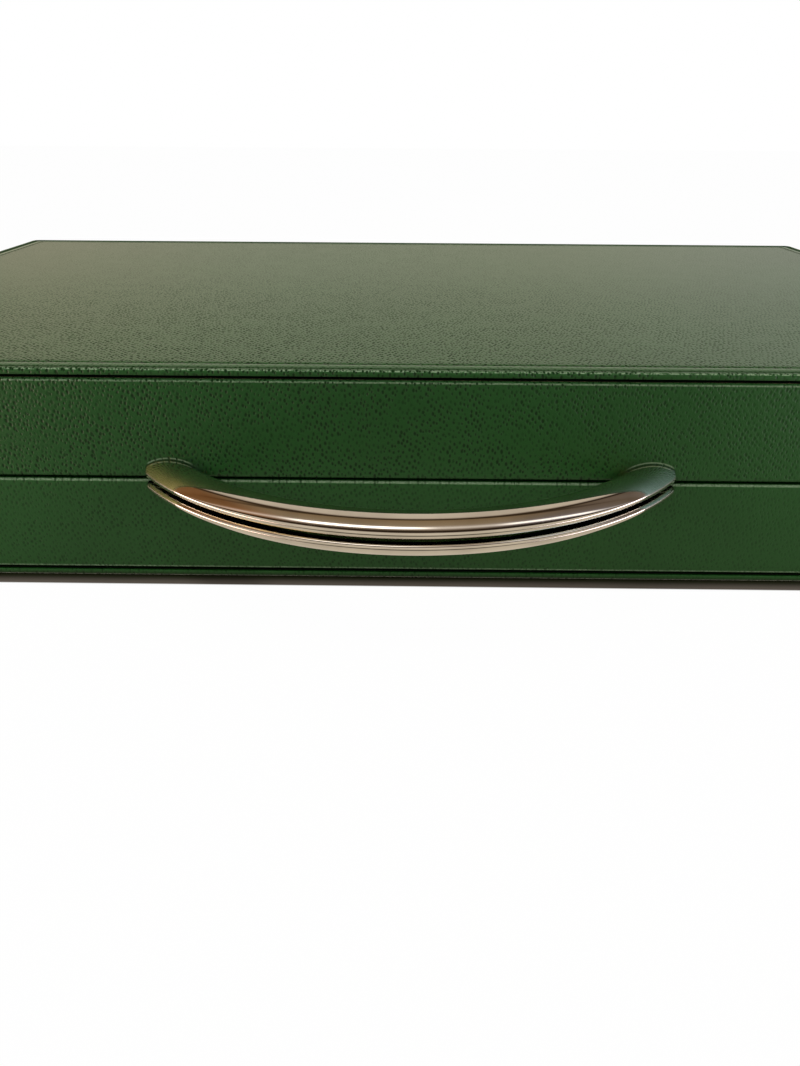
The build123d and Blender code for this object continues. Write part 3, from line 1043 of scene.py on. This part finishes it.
@dataclass
class GrooveShades:
    """A felt lining in the groove between each cover and its walls, made near black and without sheen as painted shade.
    """

    finishes: Finishes
    parting: float
    edge_inset: float = 1.3 * MM
    depth: float = 4.9 * MM
    thickness: float = 0.2 * MM
    corner_radius: float = 4.6 * MM

    def build(self) -> None:
        """Lines the lower groove with the painted shade and turns its lining over for the lid."""
        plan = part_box("lower_cover_panel")[1]
        floor = plan.z
        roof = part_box("lower_wall_leather")[0].z
        parts = [
            self._ring(plan, self.depth, floor, roof),
            self._ring(plan, self.edge_inset, roof - self.thickness, roof),
            self._ring(plan, self.edge_inset, floor, floor + self.thickness),
        ]
        lining = Bench.joined(parts, "lower_reveal_felt")
        finish_pair(lining, self.parting, self.finishes.reveal)

    def _ring(self, plan: Vector, outer: float, low: float, high: float) -> Piece:
        """Shapes a flat ring that follows the case's plan.

        Args:
            plan: The corner of the plan, half its length and half its depth.
            outer: How far in from the plan the ring starts.
            low: Level of its underside.
            high: Level of its top.

        Returns:
            The ring.
        """
        corner = Vector((plan.x - outer, plan.y - outer, 0))
        ring = Bench.box("ring", Vector((-corner.x, -corner.y, low)), Vector((corner.x, corner.y, high)))
        Bench.edit(ring)
        Bench.pick(ring, "EDGE", lambda at, way: abs(way.z) > UPRIGHT)
        bpy.ops.mesh.bevel(offset=self.corner_radius, segments=4, affect="EDGES")
        Bench.pick(ring, "FACE", lambda at, way: abs(way.z) > UPRIGHT)
        bpy.ops.mesh.inset(thickness=self.depth + self.thickness - outer, depth=0)
        bpy.ops.mesh.bridge_edge_loops()
        Bench.clear()
        return ring


@dataclass
class BowHandle:
    """The split bow: two domed bars with flat mating faces, turned along one arc and cut off at the wall."""

    finishes: Finishes
    parting: float
    wall: float
    dome_radius: float = 11.2 * MM
    edge_radius: float = 1.8 * MM
    dome_steps: int = 44
    edge_steps: int = 10
    arc_steps: int = 180
    foot_trim: float = 2.3 * MM
    smooth_angle: float = 40

    def build(self) -> None:
        """Builds the lower half and turns it over for the lid."""
        half = self._half()
        Bench.smooth(half, self.smooth_angle)
        finish_pair(half, self.parting, self.finishes.handle, "handle_half")

    def _half(self) -> Piece:
        """Draws the section with arcs, spins it along the bow, cuts it off at the wall and trims its sharp tips.

        Returns:
            The lower half.
        """
        low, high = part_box("lower_handle_half")
        half_span = high.x
        reach = self.wall - low.y
        mating = high.z
        dome_centre = low.z + self.dome_radius
        arc_radius = (half_span ** 2 + reach ** 2) / (2 * reach)
        arc_centre = self.wall - reach + arc_radius
        edge_level = mating - self.edge_radius
        edge_reach = math.sqrt((self.dome_radius - self.edge_radius) ** 2 - (dome_centre - edge_level) ** 2)
        bar_middle = arc_radius - edge_reach - self.edge_radius
        edge_turn = math.pi / 2 + math.atan2(dome_centre - edge_level, edge_reach)
        dome_turn = 2 * (math.pi - edge_turn)
        start = Vector((bar_middle + edge_reach, arc_centre, mating))
        Bench.clear()
        bpy.ops.mesh.primitive_plane_add(size=100 * TOUCH, location=start)
        half = Bench.named("lower_handle_bow")
        Bench.settle(half)
        Bench.edit(half)
        Bench.whole()
        bpy.ops.mesh.merge(type="CENTER")
        stretches = (
            (bar_middle + edge_reach, edge_level, edge_turn, self.edge_steps),
            (bar_middle, dome_centre, dome_turn, self.dome_steps),
            (bar_middle - edge_reach, edge_level, edge_turn, self.edge_steps),
        )
        for x, z, turn, steps in stretches:
            bpy.ops.mesh.spin(steps=steps, angle=turn, center=(x, arc_centre, z), axis=(0, -1, 0))
        Bench.whole()
        bpy.ops.mesh.remove_doubles(threshold=TOUCH)
        Bench.pick(half, "VERT", lambda at, way: abs(at.z - mating) < TOUCH)
        bpy.ops.mesh.edge_face_add()
        Bench.whole()
        bpy.ops.mesh.spin(steps=self.arc_steps, angle=math.pi, center=(0, arc_centre, mating), axis=(0, 0, 1))
        Bench.whole()
        bpy.ops.mesh.remove_doubles(threshold=TOUCH)
        tip = half_span - self.foot_trim
        for place, way in (((0, self.wall, 0), (0, 1, 0)), ((-tip, 0, 0), (-1, 0, 0)), ((tip, 0, 0), (1, 0, 0))):
            Bench.whole()
            bpy.ops.mesh.bisect(plane_co=place, plane_no=way, use_fill=True, clear_outer=True)
        Bench.whole()
        bpy.ops.mesh.normals_make_consistent(inside=False)
        Bench.clear()
        return half


@dataclass
class HingeScrews:
    """Countersunk slotted screws in the hinge leaves."""

    finishes: Finishes
    parting: float
    head_radius: float = 2.1 * MM
    shank_radius: float = 1.0 * MM
    head_height: float = 1.2 * MM
    slot_width: float = 0.55 * MM
    slot_depth: float = 0.5 * MM
    slot_overrun: float = 0.42 * MM
    spread: float = 16 * MM
    hinge_half_pitch: float = 190 * MM
    smooth_angle: float = 35

    def build(self) -> None:
        """Builds the lower screws and turns them over for the lid."""
        low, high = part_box("lower_hinge_screws")
        y = (low.y + high.y) / 2
        screw = self._screw(Vector((0, y, high.z)), low.z)
        places = [sign * self.hinge_half_pitch + side * self.spread for sign in (-1, 1) for side in (-1, 1)]
        copies = [Bench.copy(screw, "screw", Vector((x, 0, 0))) for x in places]
        Bench.remove(screw)
        screws = Bench.joined(copies, "lower_slotted_screws")
        Bench.smooth(screws, self.smooth_angle)
        finish_pair(screws, self.parting, self.finishes.brass, "hinge_screws")

    def _screw(self, top: Vector, tip: float) -> Piece:
        """Shapes one screw: a cone drawn out into its shank, with a slot cut across the head.

        Args:
            top: Middle of the head.
            tip: Level of the shank's end.

        Returns:
            The screw.
        """
        Bench.clear()
        middle = top - Vector((0, 0, self.head_height / 2))
        bpy.ops.mesh.primitive_cone_add(vertices=32, radius1=self.shank_radius, radius2=self.head_radius,
                                        depth=self.head_height, location=middle)
        screw = Bench.named("screw")
        Bench.settle(screw)
        Bench.edit(screw)
        Bench.pick(screw, "FACE", lambda at, way: way.z < -UPRIGHT)
        bpy.ops.mesh.extrude_region_move(TRANSFORM_OT_translate={"value": (0, 0, tip - top.z + self.head_height)})
        half = Vector((self.head_radius + self.slot_overrun, self.slot_width / 2, self.slot_depth))
        cutter = Bench.box("slot", top - half, top + half)
        Bench.modifier(screw, "BOOLEAN", operation="DIFFERENCE", object=cutter, solver="EXACT")
        Bench.remove(cutter)
        return screw


@dataclass
class Interior:
    """The CAD nodes that keep their own shape and only get better finishes."""

    finishes: Finishes

    def build(self) -> None:
        """Dresses the walls, boards, linings, playing fields, racks, hinges and magnets."""
        f = self.finishes
        looks = {
            "wall_leather": f.case, "floor_board": f.plywood, "front_board": f.boards, "rear_board": f.boards,
            "left_board": f.boards, "right_board": f.boards, "inner_lining": f.lining, "field_panel": f.field,
            "rack_pad": f.rack, "rack_divider": f.divider, "handle_screws": f.steel, "closure_magnets": f.magnet,
            "light_points": f.ivory, "dark_points": f.tan, "hinge_leaves": f.brass,
        }
        for side in Side:
            for part, material in looks.items():
                dress(side.node(part), material)
        dress("hinge_pins", f.brass)
        log.info("dressed %d CAD nodes", 2 * len(looks) + 1)


@dataclass
class Studio:
    """A pale floor, soft lights and the camera at the photograph's viewing angle."""

    floor_size: float = 12.0
    floor_drop: float = 0.1 * MM
    camera_place: Vector = Vector((-0.0018, -0.5180, 0.1833))
    camera_pitch: float = math.radians(26.311)
    camera_yaw: float = math.radians(-0.405)
    camera_roll: float = math.radians(-0.392)
    lens: float = 28.249
    sensor_width: float = 36.0
    clip: tuple[float, float] = (0.01, 50.0)
    ambient: float = 0.35
    room: float = 1.5
    overhead: tuple[float, ...] = (0.05, 0.75, 0.58, 1.6)

    # A strip across the ceiling: the bent angles where it starts, is full, fades and ends, its colour and strength, the
    # share of it that shows everywhere, and its two bright places with how far from each one it brightens
    strip_angles: tuple[float, ...] = (65.0, 70.0, 72.0, 77.0)
    strip_colour: Colour = (1.0, 0.97, 0.92)
    strip_light: float = 2.6
    strip_share: float = 0.12
    strip_places: tuple[tuple[float, tuple[float, ...]], ...] = (
        (-0.22, (0.38, 0.14)), (0.62, (0.26, 0.12, 0.0, 0.45)),
    )

    # Lamps: name, place, width, height and power
    lamps: tuple[tuple[str, Vector, float, float, float], ...] = (
        ("key", Vector((-0.42, -0.45, 1.5)), 0.95, 0.24, 7.0),
        ("fill", Vector((1.02, -0.28, 1.33)), 0.5, 0.24, 2.5),
        ("left_side", Vector((-0.63, -0.43, 0.30)), 0.3, 0.3, 2.2),
        ("right_side", Vector((0.63, -0.43, 0.30)), 0.3, 0.3, 2.0),
    )

    # What shiny surfaces see of the room, by the angle in degrees from the front horizon over the zenith to the back
    bands: tuple[tuple[float, Colour], ...] = (
        (0, (0.60, 0.53, 0.42)), (36, (0.68, 0.61, 0.50)), (46, (0.50, 0.43, 0.34)), (50, (0.04, 0.025, 0.015)),
        (58, (0.02, 0.012, 0.006)), (62, (0.16, 0.12, 0.08)), (66, (0.42, 0.35, 0.29)), (76, (0.42, 0.35, 0.28)),
        (82, (0.29, 0.22, 0.14)), (103, (0.24, 0.165, 0.09)), (106, (0.05, 0.03, 0.015)), (110, (0.05, 0.03, 0.015)),
        (113, (0.42, 0.35, 0.27)), (117, (0.60, 0.52, 0.42)), (140, (0.62, 0.54, 0.44)), (148, (0.42, 0.37, 0.30)),
        (155, (0.44, 0.40, 0.32)), (164, (1.05, 1.02, 0.81)), (180, (1.19, 1.12, 0.86)),
    )

    # How the bands bend down at both sides: the angles where they start and stop, and the most that they bend by
    low_bend: tuple[float, ...] = (110.0, 85.0, 0.0, 16.0)
    high_bend_angles: tuple[float, ...] = (104.0, 116.0, 140.0, 150.0)
    high_bend: float = 42.0

    # Tints of the room's sides: the bent angles where they come in, and their colours on the left and the right
    overhead_angles: tuple[float, ...] = (44.0, 60.0, 106.0, 116.0)
    behind_angles: tuple[float, ...] = (146.0, 156.0)
    copper: Colour = (0.80, 0.52, 0.34)
    mauve: Colour = (0.60, 0.64, 0.84)
    warm_back: Colour = (1.16, 1.03, 1.01)
    cool_back: Colour = (1.01, 1.01, 1.15)

    # A gold glow low on the left and a cool one low on the right. They light only the sheen that metal sees on leather.
    glows: tuple[tuple[Triple, Colour], ...] = (
        ((-0.82, -0.44, 0.36), (2.1, 1.5, 0.55)), ((0.82, -0.44, 0.36), (1.15, 1.6, 1.8)),
    )
    glow_facing: tuple[float, float] = (0.84, 0.96)

    # The painted shadow at the case's foot: the corner radius of its plan, and how far out it deepens and ends, in
    # metres
    corner: float = 0.006
    deepest: tuple[float, float] = (0.0, 0.0065)
    outline: tuple[float, float] = (0.0068, 0.0080)
    air_distance: float = 0.011
    air: tuple[float, float] = (0.58, 0.8)

    # The floor: its own colour, its colours in that shadow, and those that shiny surfaces see
    pale: Colour = (0.62, 0.60, 0.57)
    contact: tuple[Colour, Colour] = ((0.0125, 0.014, 0.006), (0.105, 0.088, 0.072))
    reflected: Colour = (0.60, 0.53, 0.42)
    reflected_front: Colour = (0.05, 0.045, 0.035)
    reflected_sides: tuple[Colour, Colour] = ((7.4, 5.1, 4.4), (5.9, 5.1, 5.6))
    lift: float = 0.985

    # Where shiny surfaces see the floor's dark front and its bright ends: the middle's place from front to back,
    # how far from that each eases in, and how far out from the middle of the case's length
    front_place: float = -0.62
    front_depth: tuple[float, float] = (0.34, 0.20)
    front_across: tuple[float, float] = (0.55, 0.12)
    ends_place: float = -0.38
    ends_depth: tuple[float, float] = (0.30, 0.18)
    ends_across: tuple[float, float] = (0.30, 0.47)

    def build(self) -> None:
        """Sets up the floor, the lights, the world and the camera."""
        self._floor()
        self._lights()
        self._world()
        self._camera()

    def _floor(self) -> None:
        """A plain pale floor that keeps the object's shadow faintly, has a painted shadow at the case's foot, and is
        white where the camera sees it lit.
        """
        Bench.clear()
        bpy.ops.mesh.primitive_plane_add(size=self.floor_size, location=(0, 0, -self.floor_drop))
        floor = Bench.named("studio_floor")
        Bench.settle(floor)
        material = bpy.data.materials.new("studio_floor")
        material.use_nodes = True
        w = Wiring(material.node_tree)
        path = w.add("LightPath").outputs
        at = w.split(w.add("TexCoord").outputs["Object"])
        clear, shade = self._contact(w, at)
        matt = w.add("BsdfDiffuse", {"Color": shade}).outputs[0]
        warm = w.add("Emission", {"Color": self._reflected(w, at)}).outputs[0]
        white = w.add("Emission", {"Color": (1, 1, 1, 1), "Strength": 1.0}).outputs[0]
        seen = w.add("MixShader", {0: path["Is Glossy Ray"], 1: matt, 2: warm}).outputs[0]
        lift = w.times(path["Is Camera Ray"], w.times(clear, self.lift))
        seen = w.add("MixShader", {0: lift, 1: seen, 2: white}).outputs[0]
        w.add("OutputMaterial", {"Surface": seen})
        floor.data.materials.append(material)

    def _contact(self, w: Wiring, at: Sequence[Socket]) -> tuple[Socket, Socket]:
        """Works out the painted shadow at the case's foot.

        Args:
            w: The floor's wiring.
            at: Place on the floor.

        Returns:
            How clear of the shadow the floor is, and its colour.
        """
        open_air = w.add("AmbientOcclusion", {"Distance": self.air_distance}, samples=8).outputs["AO"]
        beyond = [w.math("MAXIMUM", w.minus(w.math("ABSOLUTE", at[i]), half - self.corner), 0.0)
                  for i, half in enumerate(PLAN.values())]
        away = w.minus(w.length(*beyond), self.corner)
        clear = w.times(w.step(open_air, *self.air), w.step(away, *self.outline))
        return clear, w.mix(clear, w.mix(w.step(away, *self.deepest), *self.contact), self.pale)

    def _reflected(self, w: Wiring, at: Sequence[Socket]) -> Socket:
        """Works out the floor as shiny surfaces see it.

        Args:
            w: The floor's wiring.
            at: Place on the floor.

        Returns:
            A colour that is dark in front of the case and bright beyond its ends.
        """
        across = w.math("ABSOLUTE", at[0])
        to_front, to_ends = w.apart(at[1], self.front_place), w.apart(at[1], self.ends_place)
        front = w.times(w.step(to_front, *self.front_depth), w.step(across, *self.front_across))
        ends = w.times(w.step(to_ends, *self.ends_depth), w.step(across, *self.ends_across))
        sides = w.mix(w.step(at[0], -0.2, 0.2), *self.reflected_sides)
        return w.mix(ends, w.mix(front, self.reflected, self.reflected_front), sides)

    def _lights(self) -> None:
        """A soft strip above the front left, a smaller one above the right, and a weak one low on each side."""
        for name, place, width, height, power in self.lamps:
            lamp = bpy.data.lights.new(name, "AREA")
            lamp.shape = "RECTANGLE"
            lamp.size = width
            lamp.size_y = height
            lamp.energy = power
            light = bpy.data.objects.new(name, lamp)
            light.location = place
            light.rotation_euler = (-place).to_track_quat("-Z", "Y").to_euler()
            light.visible_glossy = False
            bpy.context.scene.collection.objects.link(light)

    def _world(self) -> None:
        """A white surround for the camera, soft light that is stronger overhead, and a quiet room for reflections."""
        world = bpy.data.worlds.new("studio")
        world.use_nodes = True
        bpy.context.scene.world = world
        w = Wiring(world.node_tree)
        path = w.add("LightPath").outputs
        toward = w.add("TexCoord").outputs["Generated"]
        way = w.split(toward)
        overhead = w.times(w.step(way[2], *self.overhead), self.ambient)
        soft = w.add("Background", {"Color": (1, 1, 1, 1), "Strength": overhead}).outputs[0]
        bent = self._bent(w, way)
        colour = self._tinted(w, way[0], bent)
        second = w.step(path["Glossy Depth"], 1.2, 1.8)
        for middle, glow in self.glows:
            facing = w.add("VectorMath", {0: toward, 1: middle}, operation="DOT_PRODUCT").outputs["Value"]
            mask = w.times(w.step(facing, *self.glow_facing), second)
            colour = w.mix(mask, colour, tuple(c / self.room for c in glow))
        room = w.add("Background", {"Color": colour, "Strength": self.room}).outputs[0]
        room = w.add("AddShader", {0: room, 1: self._strips(w, way[0], bent)}).outputs[0]
        white = w.add("Background", {"Color": (1, 1, 1, 1), "Strength": 1.0}).outputs[0]
        lit = w.add("MixShader", {0: path["Is Glossy Ray"], 1: soft, 2: room}).outputs[0]
        seen = w.add("MixShader", {0: path["Is Camera Ray"], 1: lit, 2: white}).outputs[0]
        w.add("OutputWorld", {"Surface": seen})

    def _bent(self, w: Wiring, way: Sequence[Socket]) -> Socket:
        """Works out the angle from the front horizon over the zenith, with its bands bent at both sides.

        Args:
            w: The world's wiring.
            way: Parts of the direction looked in.

        Returns:
            The angle in degrees.
        """
        angle = w.times(w.math("ARCTAN2", way[2], w.times(way[1], -1.0)), 180 / math.pi)
        low = w.step(angle, *self.low_bend)
        high = w.times(w.window(angle, *self.high_bend_angles), self.high_bend)
        return w.minus(angle, w.times(way[0], way[0], w.plus(low, high)))

    def _tinted(self, w: Wiring, side: Socket, bent: Socket) -> Socket:
        """Colours the room.

        Args:
            w: The world's wiring.
            side: How far to the right a view goes.
            bent: The bent angle.

        Returns:
            The colour of the bands, copper and mauve overhead and warm and cool behind, towards the sides.
        """
        bands = w.add("ValToRGB", {0: w.math("DIVIDE", bent, 180.0)})
        ramp = bands.color_ramp
        while len(ramp.elements) < len(self.bands):
            ramp.elements.new(0.5)
        for element, (degrees, colour) in zip(ramp.elements, self.bands):
            element.position = degrees / 180
            element.color = (*(c / self.room for c in colour), 1.0)
        tinted = bands.outputs[0]
        overhead = w.window(bent, *self.overhead_angles)
        behind = w.step(bent, *self.behind_angles)
        sides = (
            (overhead, -0.42, -0.72, self.copper), (overhead, 0.25, 0.60, self.mauve),
            (behind, -0.10, -0.45, self.warm_back), (behind, 0.10, 0.45, self.cool_back),
        )
        for part, start, full, tint in sides:
            tinted = w.mix(w.times(part, w.step(side, start, full)), tinted, tint, "MULTIPLY")
        return tinted

    def _strips(self, w: Wiring, side: Socket, bent: Socket) -> Socket:
        """Lights a ceiling strip, brighter at two places.

        Args:
            w: The world's wiring.
            side: How far to the right a view goes.
            bent: The bent angle.

        Returns:
            The strip's shader.
        """
        bright = [w.step(w.apart(side, middle), *limits) for middle, limits in self.strip_places]
        glow = w.times(w.window(bent, *self.strip_angles), w.plus(*bright, self.strip_share), self.strip_light)
        return w.add("Background", {"Color": (*self.strip_colour, 1), "Strength": glow}).outputs[0]

    def _camera(self) -> None:
        """The camera, with no depth of field and no shift."""
        data = bpy.data.cameras.new("camera")
        data.lens = self.lens
        data.sensor_width = self.sensor_width
        data.clip_start, data.clip_end = self.clip
        camera = bpy.data.objects.new("camera", data)
        turn = Matrix.Rotation(-self.camera_yaw, 4, "Z") @ Matrix.Rotation(math.pi / 2 - self.camera_pitch, 4, "X")
        camera.matrix_world = Matrix.Translation(self.camera_place) @ turn @ Matrix.Rotation(-self.camera_roll, 4, "Z")
        bpy.context.scene.collection.objects.link(camera)
        bpy.context.scene.camera = camera


def main() -> None:
    """Builds the case and its studio."""
    logging.basicConfig(level=logging.INFO, format="%(name)s: %(message)s")
    bpy.context.scene.view_settings.view_transform = "Standard"
    parting = sum(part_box("hinge_pins")[i].z for i in (0, 1)) / 2
    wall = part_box("lower_wall_leather")[0].y
    finishes = Finishes()
    Interior(finishes).build()
    Covers(finishes, parting).build()
    GrooveShades(finishes, parting).build()
    BowHandle(finishes, parting, wall).build()
    HingeScrews(finishes, parting).build()
    Studio().build()
    Bench.clear()


if __name__ == "__main__":
    main()
